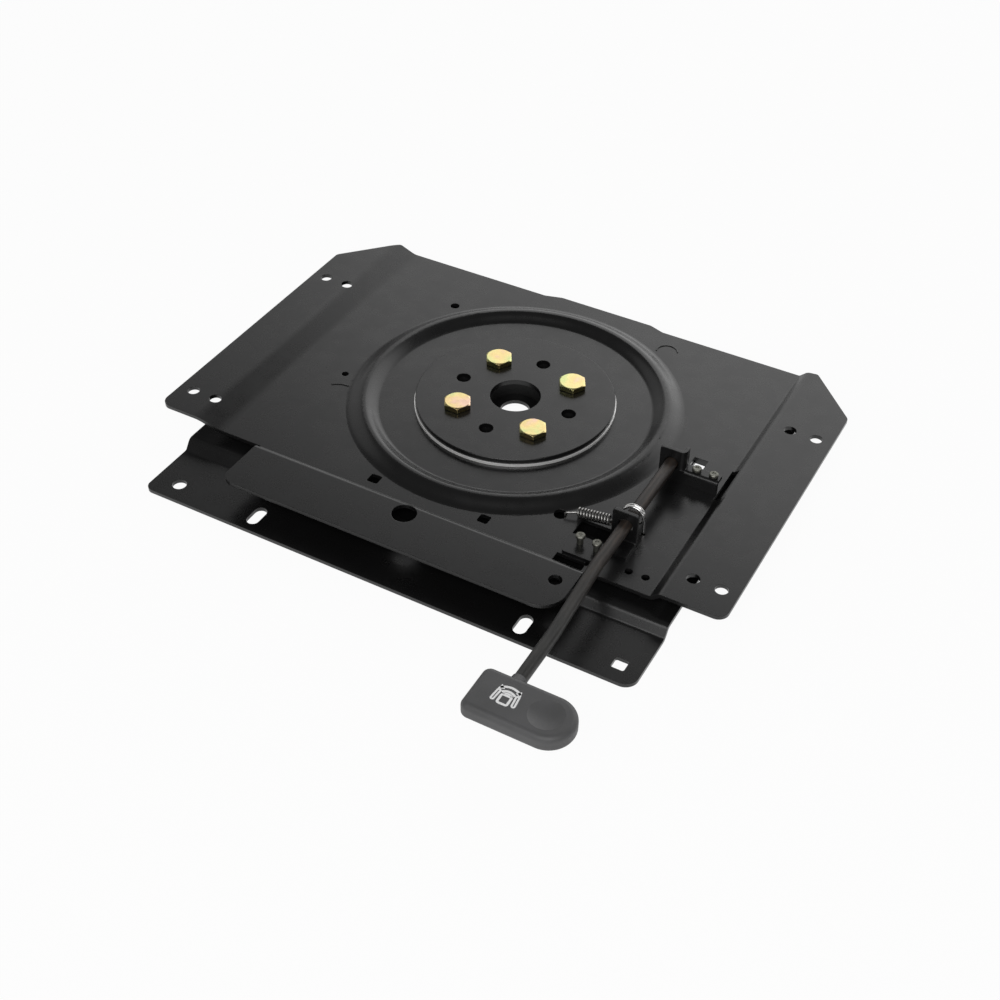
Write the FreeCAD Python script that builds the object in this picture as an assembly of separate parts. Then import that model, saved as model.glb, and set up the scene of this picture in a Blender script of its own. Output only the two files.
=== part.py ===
import FreeCAD, Part
import math
import os

# Swivel seat base for a caravan or camper seat.
# Frame: +Z up, +X to the right seen from the lever side, -Y towards the lever.
# Origin: on the swivel axis, at the lower end of the lower plate's centre bore.
# The levels below are counted from the plane on which the lower plate stands,
# and each finished shape is moved down by ORIGIN_LEVEL.
# All lengths are in millimetres and all angles in degrees.

Vec = FreeCAD.Vector
Z_AXIS = Vec(0, 0, 1)
ORIGIN = Vec(0, 0, 0)

# Sheet metal
SHEET_T = 3.0
BEND_R = 2.5
SQUARE_CORNER_R = 1.5

# Clearances
RUN_GAP = 0.1
BORE_GAP = 0.4
ROD_GAP = 0.85
FIT_GAP = 0.05

# Levels of the upper faces
FLANGE_TOP = 3.0
PLATEAU_TOP = 10.5
RECESS_TOP = 15.7
RECESS_GAP = 0.5
BOSS_TOP = RECESS_TOP - SHEET_T - RECESS_GAP
ORIGIN_LEVEL = BOSS_TOP - SHEET_T
MAIN_TOP = 19.0
WING_TOP = 23.75
BEAD_TOP = 25.0
CUT_REACH = 2 * BEAD_TOP
OVERCUT = 1.0

# Lower plate
LOWER_W = 384.0
LOWER_FRONT = -199.5
LOWER_BACK = 155.0
FRONT_JOGGLE = (-152.0, -146.3)
REAR_JOGGLE = (122.0, 127.7)
LOWER_R_LEFT = 6.0
LOWER_R_RIGHT = 9.5
BOSS_R = 59.0
BOSS_FOOT_R = 64.0
BOSS_RIM = 4.0
CENTRE_HOLE_R = 11.0
FIX_ROW_Y = -184.8
FIX_REAR_Y = 141.5
FIX_HOLE_R = 5.2
FIX_HOLE_X = 172.2
FIX_SLOT_X = (-104.5, 106.9)
FIX_SLOT_R = 4.7
FIX_SLOT_L = 18.0
FIX_SQUARE_X = 176.4
FIX_SQUARE = 9.4

# Hub
DISC_R = 74.6
DISC_T = 4.0
DISC_CHAMFER = 0.4
DISC_BORE_R = 19.0
SPACER_R = 52.0
BOLT_CIRCLE_R = 44.5
BOLT_COUNT = 4
BOLT_D = 12.0
BOLT_HEAD_AF = 19.0
BOLT_HEAD_H = 4.7
BOLT_CAP = 0.97
BOLT_CAP_RUN = 2.0
BOLT_WASHER = (0.95, 0.5)
BOLT_END_CHAMFER = 1.0
BOLT_END = 2.0
SPARE_HOLE_R = 5.4
BACKING_T = 6.0
BACKING_R = (31.0, 57.0)
RACE_T = 2.0
RACE_PROUD = 0.8
RACE_R = (55.0, DISC_R + RACE_PROUD)
UPPER_SLIDE_BACK = 2.6
UPPER_SLIDE_R = (55.0, DISC_R - UPPER_SLIDE_BACK)
LOWER_SLIDE_R = (86.0, 103.0)
SPACER_T = 9.0
DISC_BOTTOM = BOSS_TOP + SPACER_T
DISC_TOP = DISC_BOTTOM + DISC_T

# Upper plate
UPPER_W = 450.0
UPPER_FRONT = -136.0
UPPER_BACK = 137.0
WING_BACK = 139.0
WING_CUT = (187.0, 98.0)
WING_FRONT_R = 8.0
LEFT_JOGGLE = (-190.0, -172.0)
RIGHT_JOGGLE = (173.5, 179.0)
BULGE_X = (-47.0, -33.0, 46.5, 58.5)
BULGE_Y = 141.0
RECESS_R = 107.5
BEAD_R = (112.3, 117.2, 123.5)
BEAD_BEND_R = (1.6, 1.4, 1.4, 10.0)
BEAD_RIM = 6.0
LEFT_JOGGLE_R = 30.0
BULGE_CORNER_R = 4.0
WING_CORNER_R = (5.0, 3.0)
TONGUE_X = (-134.5, 128.0)
TONGUE_FRONT = -183.5
TONGUE_JOGGLE = (-137.0, -141.5)
TONGUE_R_LEFT = 9.5
TONGUE_R_RIGHT = 17.0
TONGUE_BEND_R = 1.2
TONGUE_LAP = 8.0
SEAT_HOLE_R = 4.6
SEAT_X = (192.8, 212.8)
SEAT_Y = (-112.0, 64.2)
TONGUE_HOLES = ((-3.7, -150.9, 8.8), (115.3, -157.2, 4.7))
ROUND_HOLES = ((-103.3, 87.1, 3.6), (-129.7, -33.7, 2.7), (151.4, -122.0, 2.8), (163.6, -121.8, 2.8))
SQUARE_HOLES = ((-43.8, -126.0, 8.4), (43.7, -124.5, 8.0))
SLOT_RELIEF = (102.3, 124.0, -136.6, -128.8)
RELIEF_TAIL = (9.0, 2.4)
SPRING_WINDOW = (102.6, 126.0, -107.0, -91.0)
PAWL_WINDOW = (136.3, 157.3, -22.1, -17.2)
SIGHT_WINDOW = (142.5, 153.0, -18.0, 7.6)
WEB_SLOT = (172.2, 177.2, -28.5, 6.0)

# Lever rod and handle
ROD_X = 137.1
ROD_Z = 34.7
ROD_D = 9.0
ROD_REAR = -16.9
ROD_CRANK_Y = (-142.0, -208.0)
ROD_CRANK = (3.2, -1.3)
ROD_BEND_R = 60.0
HANDLE_X = (119.4, 187.9)
HANDLE_Y = (-290.0, -254.6)
HANDLE_H = 12.5
HANDLE_CORNER_R = 5.5
HANDLE_EDGE_R = 4.0
HANDLE_SOCKET = 22.0
THUMB_R = 11.4
THUMB_DEPTH = 2.7
THUMB_SHIFT = 1.3
COLLAR_R = 6.0
COLLAR_L = 3.0
COLLAR_WALL = 0.6
ROD_CHAMFER = 0.6

# Lock pawl: a plate on the rod whose tooth swings down through both plates
PAWL_T = 4.0
PAWL_GAP = 0.4
PAWL_HUB_R = 7.0
PAWL_ANGLE = 26.0
PAWL_WIDTH = 6.0
PAWL_TIP_GAP = 0.4
LOCK_SLOT_X = (137.2, 149.5)
LOCK_SIDE_GAP = 0.25
LOCK_SIGHT = (141.3, 157.0, -13.0, 14.6)

# Brackets
BRACKET_T = 2.5
EAR_W = 19.0
EAR_ROD_TO_TOP = 11.5
EAR_CORNER_R = 2.0
REAR_EAR_SHIFT = 0.5
FRONT_EAR_SHIFT = -0.5
FRONT_EAR_LESS = 0.6
REAR_EAR_FRONT = -24.6
REAR_WALL_BACK = -17.0
REAR_LIP_TOP = 30.9
REAR_LIP_BACK = -15.6
REAR_LIP_RIGHT = 172.0
LIP_BEND_R = 0.3
FOLD_BEND_R = 1.5
FOLD_RELIEF = 0.6
REAR_RIVET_X = (154.6, 167.2)
REAR_RIVET_GAP = 0.05
FRONT_EAR_FRONT = -98.7
FRONT_FOOT_RIGHT = -114.0
FRONT_FOOT_LEFT = (104.5, -128.0)
FRONT_FOOT_BACK = -109.0
FOOT_CORNER_R = 2.0
FOOT_BEND_R = 1.0
FRONT_RIVETS = ((112.5, -115.7), (125.3, -116.8))

# Rivets
RIVET_D = 4.0
RIVET_HEAD_D = 6.6
RIVET_HEAD_H = 2.2
RIVET_HEAD_CHAMFER = 0.5
RIVET_NECK_D = 4.6
RIVET_STAND_FRONT = 7.5
RIVET_STAND_REAR = 3.2
RIVET_TAIL_D = 7.0
RIVET_TAIL_REAR_D = 4.8
RIVET_TAIL_H = 1.6
RIVET_DIMPLE_D = 2.6
RIVET_DIMPLE_H = 0.4

# Springs
LEG_HOLE_GAP = 0.8
TORSION_WIRE = 1.9
TORSION_R = 7.4
TORSION_PITCH = 2.1
TORSION_REAR = -84.6
TORSION_LEG_ANGLE = 22.0
TORSION_LEG_END = 15.0
TORSION_BEND_R = 2.0
PULL_WIRE = 1.5
PULL_R = 3.3
PULL_TURNS = 11
PULL_EYE_GAP = 4.73
PULL_HOOK_R = 1.6
PULL_EYE_R = 1.2
PULL_START = (98.5, 23.3)
HOOK_HOLE = (86.8, -94.5, 4.6)
HOOK_DEPTH = 0.35
HOOK_RETURN = 3.5
LUG_T = 2.5
LUG_BACK = -92.1
LUG_ANGLE = 55.0
LUG_REACH = 11.6
LUG_EYE_R = 1.5
LUG_W = 5.6
WIRE_GAP = 0.3
KNEE = 1.06
ARCS_PER_TURN = 4
PULL_Y = LUG_BACK + PULL_WIRE / 2 + WIRE_GAP


def box(x0, x1, y0, y1, z0, z1):
    return Part.makeBox(x1 - x0, y1 - y0, z1 - z0, Vec(x0, y0, z0))


def cylinder(r, z0, z1, x=0.0, y=0.0):
    return Part.makeCylinder(r, z1 - z0, Vec(x, y, z0), Z_AXIS)


def cylinder_y(r, y0, y1, x, z):
    return Part.makeCylinder(r, y1 - y0, Vec(x, y0, z), Vec(0, 1, 0))


def ring(r_in, r_out, z0, z1):
    return cylinder(r_out, z0, z1).cut(cylinder(r_in, z0 - OVERCUT, z1 + OVERCUT))


def through(x, y, r):
    return cylinder(r, -CUT_REACH, CUT_REACH, x, y)


def rounded_outline(points):
    """Closed wire in the XY plane through (x, y, corner radius)."""
    edges = []
    ends = []
    count = len(points)
    for i in range(count):
        x, y, r = points[i]
        here = Vec(x, y, 0)
        before = Vec(*points[i - 1][:2], 0) - here
        after = Vec(*points[(i + 1) % count][:2], 0) - here
        before.normalize()
        after.normalize()
        if r <= 0:
            ends.append((here, here))
            continue
        half = before.getAngle(after) / 2
        reach = r / math.tan(half)
        a = here + before * reach
        b = here + after * reach
        middle = before + after
        middle.normalize()
        top = here + middle * (r / math.sin(half) - r)
        edges.append(Part.Arc(a, top, b).toShape())
        ends.append((a, b))
    for i in range(count):
        start = ends[i][1]
        stop = ends[(i + 1) % count][0]
        if start.distanceToPoint(stop) > 1e-6:
            edges.append(Part.makeLine(start, stop))
    return Part.Wire(Part.__sortEdges__(edges))


def prism(points, z0, z1):
    """Solid between two heights with a rounded outline."""
    wire = rounded_outline(points)
    wire.translate(Vec(0, 0, z0))
    return Part.Face(wire).extrude(Vec(0, 0, z1 - z0))


def square_through(x, y, side):
    """Square hole with rounded corners."""
    half = side / 2
    corners = ((x - half, y - half), (x + half, y - half), (x + half, y + half), (x - half, y + half))
    return prism([spot + (SQUARE_CORNER_R,) for spot in corners], -CUT_REACH, CUT_REACH)


def bent_face(points, radius, thickness=SHEET_T):
    """Section of a bent sheet in the XY plane.

    points run along one face of the sheet, whose other face lies on the
    right-hand side of the path. radius is the inner radius of every bend,
    or a tuple with one for each.
    """
    radii = radius if isinstance(radius, tuple) else (radius,) * len(points)
    path = [Vec(x, y, 0) for x, y in points]
    near = []
    far = []
    for i, here in enumerate(path):
        ahead = path[min(i + 1, len(path) - 1)] - path[min(i, len(path) - 2)]
        behind = path[max(i, 1)] - path[max(i - 1, 0)]
        ahead.normalize()
        behind.normalize()
        right_a = Vec(ahead.y, -ahead.x, 0)
        right_b = Vec(behind.y, -behind.x, 0)
        turn = behind.x * ahead.y - behind.y * ahead.x
        if abs(turn) < 1e-9:
            near.append((here,))
            far.append((here + right_a * thickness,))
            continue
        half = math.asin(max(-1.0, min(1.0, abs(turn)))) / 2
        if behind.dot(ahead) < 0:
            half = math.pi / 2 - half
        side = 1.0 if turn > 0 else -1.0
        r_near = radii[i - 1] if turn > 0 else radii[i - 1] + thickness
        centre = here - behind * (r_near * math.tan(half)) - right_b * (side * r_near)
        mid = right_a + right_b
        mid.normalize()
        for chain, r in ((near, r_near), (far, r_near + side * thickness)):
            chain.append((centre + right_b * (side * r),
                          centre + mid * (side * r),
                          centre + right_a * (side * r)))
    far.reverse()
    far = [tuple(reversed(spot)) for spot in far]
    edges = []
    loop = near + far
    for i, spot in enumerate(loop):
        if len(spot) == 3:
            edges.append(Part.Arc(*spot).toShape())
        edges.append(Part.makeLine(spot[-1], loop[(i + 1) % len(loop)][0]))
    return Part.Face(Part.Wire(edges))


def sheet_along_y(points, radius, y0, y1, thickness=SHEET_T):
    """Bent sheet with its section in XZ, given by (x, z) along its upper face."""
    face = bent_face(points, radius, thickness)
    face.rotate(ORIGIN, Vec(1, 0, 0), 90)
    face.translate(Vec(0, y1, 0))
    return face.extrude(Vec(0, y0 - y1, 0))


def sheet_along_x(points, radius, x0, x1, thickness=SHEET_T):
    """Bent sheet with its section in YZ, given by (y, z) along its upper face."""
    face = bent_face(points, radius, thickness)
    face.rotate(ORIGIN, Vec(1, 1, 1), 120)
    face.translate(Vec(x0, 0, 0))
    return face.extrude(Vec(x1 - x0, 0, 0))


def sheet_round_z(points, radius, thickness=SHEET_T):
    """Bent sheet turned about the swivel axis, given by (r, z) along its upper face."""
    face = bent_face(points, radius, thickness)
    face.rotate(ORIGIN, Vec(1, 0, 0), 90)
    return face.revolve(ORIGIN, Z_AXIS, 360)


def sheet_up_z(points, radius, z0, z1, thickness=SHEET_T):
    """Bent sheet with its section in XY."""
    face = bent_face(points, radius, thickness)
    face.translate(Vec(0, 0, z0))
    return face.extrude(Vec(0, 0, z1 - z0))


def bolt_angles():
    return [45.0 + 360.0 / BOLT_COUNT * i for i in range(BOLT_COUNT)]


def on_bolt_circle(angle):
    a = math.radians(angle)
    return BOLT_CIRCLE_R * math.cos(a), BOLT_CIRCLE_R * math.sin(a)


def cut_all(body, tools):
    return body.cut(Part.makeCompound(tools)).removeSplitter()


def lower_plate():
    """Hat-shaped sheet: two flanges to screw down, a plateau and a raised centre."""
    profile = [(LOWER_FRONT, FLANGE_TOP), (FRONT_JOGGLE[0], FLANGE_TOP),
               (FRONT_JOGGLE[1], PLATEAU_TOP), (REAR_JOGGLE[0], PLATEAU_TOP),
               (REAR_JOGGLE[1], FLANGE_TOP), (LOWER_BACK, FLANGE_TOP)]
    half = LOWER_W / 2
    plate = sheet_along_x(profile, BEND_R, -half, half)
    outline = [(-half, LOWER_FRONT, LOWER_R_LEFT), (half, LOWER_FRONT, LOWER_R_RIGHT),
               (half, LOWER_BACK, LOWER_R_RIGHT), (-half, LOWER_BACK, LOWER_R_LEFT)]
    plate = plate.common(prism(outline, -CUT_REACH, CUT_REACH))
    rim = BOSS_FOOT_R + BOSS_RIM
    boss = sheet_round_z([(CENTRE_HOLE_R, BOSS_TOP), (BOSS_R, BOSS_TOP),
                          (BOSS_FOOT_R, PLATEAU_TOP), (rim, PLATEAU_TOP)], BEND_R)
    plate = plate.cut(cylinder(rim, -CUT_REACH, CUT_REACH)).fuse(boss)
    tools = [through(*on_bolt_circle(a), BOLT_D / 2 + FIT_GAP) for a in bolt_angles()]
    tools += lower_fixings() + lock_holes()
    return cut_all(plate, tools)


def slot_through(x, y, r, length):
    straight = length - 2 * r
    middle = box(x - r, x + r, y - straight / 2, y + straight / 2, -CUT_REACH, CUT_REACH)
    return middle.fuse([through(x, y - straight / 2, r), through(x, y + straight / 2, r)])


def lower_fixings():
    """Holes of the flanges: round, two slots and square in front, plain ones behind."""
    tools = [through(-FIX_HOLE_X, FIX_ROW_Y, FIX_HOLE_R),
             square_through(FIX_SQUARE_X, FIX_ROW_Y, FIX_SQUARE)]
    for x in FIX_SLOT_X:
        tools.append(slot_through(x, FIX_ROW_Y, FIX_SLOT_R, FIX_SLOT_L))
    for x in (-FIX_HOLE_X, FIX_HOLE_X):
        tools.append(through(x, FIX_REAR_Y, FIX_HOLE_R))
    return tools


def pawl_span():
    """Front and back face of the pawl, just behind the rear ear."""
    front = REAR_EAR_FRONT + BRACKET_T + PAWL_GAP
    return front, front + PAWL_T


def lock_holes():
    """Slots for the pawl, facing forwards and turned about, and a sight hole."""
    front, back = pawl_span()
    slot = box(*LOCK_SLOT_X, front - LOCK_SIDE_GAP, back + LOCK_SIDE_GAP, -CUT_REACH, CUT_REACH)
    turned = slot.copy()
    turned.rotate(ORIGIN, Z_AXIS, 180)
    return [slot, turned, box(*LOCK_SIGHT, -CUT_REACH, CUT_REACH)]


def hub_disc():
    """Cover disc with a bore, four bolt holes and four spare holes between them."""
    disc = ring(DISC_BORE_R, DISC_R, DISC_BOTTOM, DISC_TOP)
    edges = [e for e in disc.Edges if e.BoundBox.XLength > DISC_R]
    disc = disc.makeChamfer(DISC_CHAMFER, [e for e in edges if e.BoundBox.ZMin > DISC_TOP - 0.01])
    return cut_all(disc, hub_holes())


def hub_holes():
    tools = [through(*on_bolt_circle(a), BOLT_D / 2 + FIT_GAP) for a in bolt_angles()]
    tools += [through(*on_bolt_circle(a + 45), SPARE_HOLE_R) for a in bolt_angles()]
    return tools


def hub_spacer():
    """Turned ring that carries the disc above the upper plate's recess."""
    return cut_all(ring(DISC_BORE_R, SPACER_R, BOSS_TOP, DISC_BOTTOM), hub_holes())


def backing_plate():
    """Tapped ring under the lower plate that the pivot bolts screw into."""
    top = BOSS_TOP - SHEET_T
    plate = ring(*BACKING_R, top - BACKING_T, top)
    return cut_all(plate, [through(*on_bolt_circle(a), BOLT_D / 2 + FIT_GAP) for a in bolt_angles()])


def pivot_bolt(angle):
    """Hexagon bolt with a chamfered head, a washer face and a chamfered end."""
    x, y = on_bolt_circle(angle)
    corner = BOLT_HEAD_AF / math.sqrt(3)
    turns = [Vec(corner * math.cos(math.radians(60 * i)), corner * math.sin(math.radians(60 * i)), 0)
             for i in range(7)]
    narrow, face = BOLT_WASHER
    rim = BOLT_HEAD_AF / 2 * BOLT_CAP
    head = Part.Face(Part.makePolygon(turns)).extrude(Vec(0, 0, BOLT_HEAD_H))
    cap = Part.makeCone(rim + BOLT_HEAD_H * BOLT_CAP_RUN, rim, BOLT_HEAD_H)
    head = head.common(cap)
    head = head.cut(ring(BOLT_HEAD_AF / 2 * narrow, corner + OVERCUT, -OVERCUT, face))
    reach = SPACER_T + DISC_T + SHEET_T + BACKING_T + BOLT_END
    shank = Part.makeCylinder(BOLT_D / 2, reach, Vec(0, 0, -reach))
    end = [e for e in shank.Edges if e.BoundBox.ZMax < -reach / 2]
    shank = shank.makeChamfer(BOLT_END_CHAMFER, end)
    bolt = head.fuse(shank).removeSplitter()
    bolt.translate(Vec(x, y, DISC_TOP))
    return bolt


def bearing_race():
    """Bright steel ring clamped under the disc, on which the slide ring bears."""
    return ring(*RACE_R, DISC_BOTTOM - RACE_T, DISC_BOTTOM)


def upper_slide_ring():
    """Plastic ring between the race and the recess of the upper plate."""
    return ring(*UPPER_SLIDE_R, RECESS_TOP + RUN_GAP, DISC_BOTTOM - RACE_T)


def lower_slide_ring():
    """Plastic ring on the plateau that carries the upper plate's recess."""
    return ring(*LOWER_SLIDE_R, PLATEAU_TOP, RECESS_TOP - SHEET_T - RUN_GAP)


def upper_outline():
    """Outline of the main sheet with its chamfered wings and the bulged back edge."""
    half = UPPER_W / 2
    cut_x, cut_y = WING_CUT
    ends = (UPPER_BACK, BULGE_Y, BULGE_Y, UPPER_BACK)
    bulge = [(x, y, BULGE_CORNER_R) for x, y in zip(reversed(BULGE_X), ends)]
    side_r, back_r = WING_CORNER_R
    return [(-half, UPPER_FRONT, WING_FRONT_R), (half, UPPER_FRONT, WING_FRONT_R),
            (half, cut_y, side_r), (cut_x, WING_BACK, back_r), (RIGHT_JOGGLE[0], UPPER_BACK, 0)] + bulge + [
            (LEFT_JOGGLE[1], UPPER_BACK, 0), (-cut_x, WING_BACK, back_r), (-half, cut_y, side_r)]


def tongue():
    """Raised front part of the sheet, joined to the main plane by a joggle."""
    profile = [(TONGUE_FRONT, WING_TOP), (TONGUE_JOGGLE[1], WING_TOP),
               (TONGUE_JOGGLE[0], MAIN_TOP), (UPPER_FRONT + TONGUE_LAP, MAIN_TOP)]
    sheet = sheet_along_x(profile, TONGUE_BEND_R, *TONGUE_X)
    x0, x1 = TONGUE_X
    outline = [(x0, TONGUE_FRONT, TONGUE_R_LEFT), (x1, TONGUE_FRONT, TONGUE_R_RIGHT),
               (x1, UPPER_FRONT + 2 * TONGUE_LAP, 0), (x0, UPPER_FRONT + 2 * TONGUE_LAP, 0)]
    return sheet.common(prism(outline, 0, BEAD_TOP))


def ring_bead():
    """Recess for the hub with the round bead that stiffens the sheet about it."""
    inner = SPACER_R + BORE_GAP
    r1, r2, r3 = BEAD_R
    return sheet_round_z([(inner, RECESS_TOP), (RECESS_R, RECESS_TOP), (r1, BEAD_TOP),
                          (r2, BEAD_TOP), (r3, MAIN_TOP), (r3 + BEAD_RIM, MAIN_TOP)], BEAD_BEND_R)


def relief_cut():
    """Slot behind the tongue's right end, with a narrow tail curling towards the rod."""
    x0, x1, y0, y1 = SLOT_RELIEF
    reach, width = RELIEF_TAIL
    slot = box(x0, x1, y0, y1, 0, CUT_REACH)
    tail = ring(reach - width, reach, 0, CUT_REACH).common(box(-reach, 0, 0, reach, 0, CUT_REACH))
    tail.translate(Vec(x1 - width / 2 + reach, y1 - width, 0))
    return [slot, tail]


def upper_plate():
    """Pressed sheet with raised wings, a raised tongue and the hub's recess."""
    half = UPPER_W / 2
    profile = [(-half, WING_TOP), (LEFT_JOGGLE[0], WING_TOP), (LEFT_JOGGLE[1], MAIN_TOP),
               (RIGHT_JOGGLE[0], MAIN_TOP), (RIGHT_JOGGLE[1], WING_TOP), (half, WING_TOP)]
    radii = (LEFT_JOGGLE_R, LEFT_JOGGLE_R, BEND_R, BEND_R)
    sheet = sheet_along_y(profile, radii, UPPER_FRONT, BULGE_Y)
    sheet = sheet.common(prism(upper_outline(), 0, CUT_REACH))
    rim = BEAD_R[2] + BEAD_RIM
    sheet = sheet.cut(cylinder(rim, 0, CUT_REACH)).fuse([ring_bead(), tongue()])
    tools = [through(side * x, y, SEAT_HOLE_R) for side in (-1, 1) for x in SEAT_X for y in SEAT_Y]
    tools += [through(*spot) for spot in TONGUE_HOLES + ROUND_HOLES + (HOOK_HOLE,)]
    tools.append(through(ROD_X + TORSION_R, TORSION_REAR, TORSION_WIRE / 2 + LEG_HOLE_GAP))
    tools += [square_through(*spot) for spot in SQUARE_HOLES]
    tools += relief_cut()
    for x0, x1, y0, y1 in (SPRING_WINDOW, PAWL_WINDOW, SIGHT_WINDOW, WEB_SLOT):
        tools.append(box(x0, x1, y0, y1, 0, CUT_REACH))
    tools += [through(x, y, RIVET_D / 2 + FIT_GAP) for x, y in FRONT_RIVETS]
    return cut_all(sheet, tools)


def rear_rivet_y():
    """The rear rivets' tails lie close behind the skirt's back face."""
    return REAR_EAR_FRONT + BRACKET_T + RIVET_TAIL_REAR_D / 2 + REAR_RIVET_GAP


def rod_hole(y0, y1):
    return cylinder_y(ROD_D / 2 + ROD_GAP, y0 - OVERCUT, y1 + OVERCUT, ROD_X, ROD_Z)


def rear_bracket():
    """Ear for the rod, folded back at its right edge, with a riveted lip beside it."""
    x0 = ROD_X - EAR_W / 2 + REAR_EAR_SHIFT
    x1 = x0 + EAR_W
    top = ROD_Z + EAR_ROD_TO_TOP + REAR_EAR_SHIFT
    front = REAR_EAR_FRONT
    back = front + BRACKET_T
    lower = box(x0, x1, front, back, MAIN_TOP, REAR_LIP_TOP)
    upper = sheet_up_z([(x1, REAR_WALL_BACK), (x1, front), (x0, front)], FOLD_BEND_R, REAR_LIP_TOP, top,
                       BRACKET_T)
    upper = upper.cut(box(x0, x1 + OVERCUT, back, REAR_WALL_BACK + OVERCUT, REAR_LIP_TOP - OVERCUT,
                          REAR_LIP_TOP + FOLD_RELIEF))
    lip = sheet_along_x([(front, MAIN_TOP), (front, REAR_LIP_TOP), (REAR_LIP_BACK, REAR_LIP_TOP)],
                        LIP_BEND_R, x1, REAR_LIP_RIGHT, BRACKET_T)
    bracket = lower.fuse([upper, lip]).removeSplitter()
    corner = [e for e in bracket.Edges if e.BoundBox.XMax < x0 + 0.01
              and e.BoundBox.ZMin > top - 0.01]
    bracket = bracket.makeFillet(EAR_CORNER_R, corner)
    tools = [rod_hole(front, back)]
    tools += [through(x, rear_rivet_y(), RIVET_D / 2 + FIT_GAP) for x in REAR_RIVET_X]
    return cut_all(bracket, tools)


def front_bracket():
    """Ear for the rod with a foot riveted to the main plane, left of the rod."""
    x0 = ROD_X - EAR_W / 2 + FRONT_EAR_SHIFT
    x1 = x0 + EAR_W - FRONT_EAR_LESS
    top = ROD_Z + EAR_ROD_TO_TOP - FRONT_EAR_LESS
    front = FRONT_EAR_FRONT
    level = MAIN_TOP + BRACKET_T
    ear = sheet_along_x([(FRONT_FOOT_RIGHT, level), (front, level), (front, top)],
                        FOOT_BEND_R, x0, x1, BRACKET_T)
    left, near = FRONT_FOOT_LEFT
    r = FOOT_CORNER_R
    foot = prism([(left, FRONT_FOOT_BACK, r), (x0 + 1, FRONT_FOOT_BACK, 0), (x0 + 1, FRONT_FOOT_RIGHT, 0),
                  (x0, near, r), (left, near, r)], MAIN_TOP, level)
    bracket = ear.fuse(foot).removeSplitter()
    corners = [e for e in bracket.Edges if e.BoundBox.ZMin > top - 0.01 and e.BoundBox.XLength < 0.01]
    bracket = bracket.makeFillet(EAR_CORNER_R, corners)
    tools = [rod_hole(front, front + BRACKET_T)]
    tools += [through(x, y, RIVET_D / 2 + FIT_GAP) for x, y in FRONT_RIVETS]
    return cut_all(bracket, tools)


def rivet(x, y, seat, stand, under, tail_d):
    """Rivet with a dimpled head on a neck above its seat and a flat tail below the sheets."""
    top = seat + stand
    shank = cylinder(RIVET_D / 2, under - RIVET_TAIL_H, top, x, y)
    neck = cylinder(RIVET_NECK_D / 2, seat, top - RIVET_HEAD_H, x, y)
    head = cylinder(RIVET_HEAD_D / 2, top - RIVET_HEAD_H, top, x, y)
    rim = [e for e in head.Edges if e.BoundBox.ZMin > top - 0.01]
    head = head.makeChamfer(RIVET_HEAD_CHAMFER, rim)
    tail = cylinder(tail_d / 2, under - RIVET_TAIL_H, under, x, y)
    dimple = cylinder(RIVET_DIMPLE_D / 2, top - RIVET_DIMPLE_H, top + OVERCUT, x, y)
    return shank.fuse([neck, head, tail]).cut(dimple).removeSplitter()


def front_rivet(x, y):
    return rivet(x, y, MAIN_TOP + BRACKET_T, RIVET_STAND_FRONT, MAIN_TOP - SHEET_T, RIVET_TAIL_D)


def rear_rivet(x):
    return rivet(x, rear_rivet_y(), REAR_LIP_TOP, RIVET_STAND_REAR, REAR_LIP_TOP - BRACKET_T,
                 RIVET_TAIL_REAR_D)


def crank_points(rear, front):
    """Centre line of the rod: straight, a shallow offset, then straight again."""
    x, z = ROD_X + ROD_CRANK[0], ROD_Z + ROD_CRANK[1]
    return [Vec(ROD_X, rear, ROD_Z), Vec(ROD_X, ROD_CRANK_Y[0], ROD_Z),
            Vec(x, ROD_CRANK_Y[1], z), Vec(x, front, z)]


def lever_rod():
    """Round bar from the pawl to the handle with a shallow offset before the handle."""
    points = crank_points(ROD_REAR, HANDLE_Y[1] - HANDLE_SOCKET)
    bar = wire_run(points, ROD_D / 2, ROD_BEND_R)
    return bar.makeChamfer(ROD_CHAMFER, [e for e in bar.Edges if e.BoundBox.YMin > ROD_REAR - 0.01])


def lever_handle():
    """Moulded paddle, round at its free end, with a dished thumb rest."""
    x0, x1 = HANDLE_X
    y0, y1 = HANDLE_Y
    half = (y1 - y0) / 2
    mid = (y0 + y1) / 2
    x, z = ROD_X + ROD_CRANK[0], ROD_Z + ROD_CRANK[1]
    base = z - HANDLE_H / 2
    top = base + HANDLE_H
    outline = [(x0, y0, HANDLE_CORNER_R), (x1, y0, half - 0.01),
               (x1, y1, half - 0.01), (x0, y1, HANDLE_CORNER_R)]
    grip = prism(outline, base, top)
    rims = [e for e in grip.Edges if abs(e.BoundBox.ZMax - e.BoundBox.ZMin) < 1e-6]
    grip = grip.makeFillet(HANDLE_EDGE_R, rims)
    start = y1 - HANDLE_EDGE_R
    collar = Part.makeCone(COLLAR_R, ROD_D / 2 + COLLAR_WALL, HANDLE_EDGE_R + COLLAR_L, Vec(x, start, z),
                           Vec(0, 1, 0))
    grip = grip.fuse(collar)
    ball = (THUMB_R ** 2 + THUMB_DEPTH ** 2) / (2 * THUMB_DEPTH)
    thumb = Part.makeSphere(ball, Vec(x1 - half - THUMB_SHIFT, mid, top - THUMB_DEPTH + ball))
    socket = cylinder_y(ROD_D / 2, y1 - HANDLE_SOCKET, y1 + COLLAR_L + OVERCUT, x, z)
    return cut_all(grip, [thumb, socket])


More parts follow.
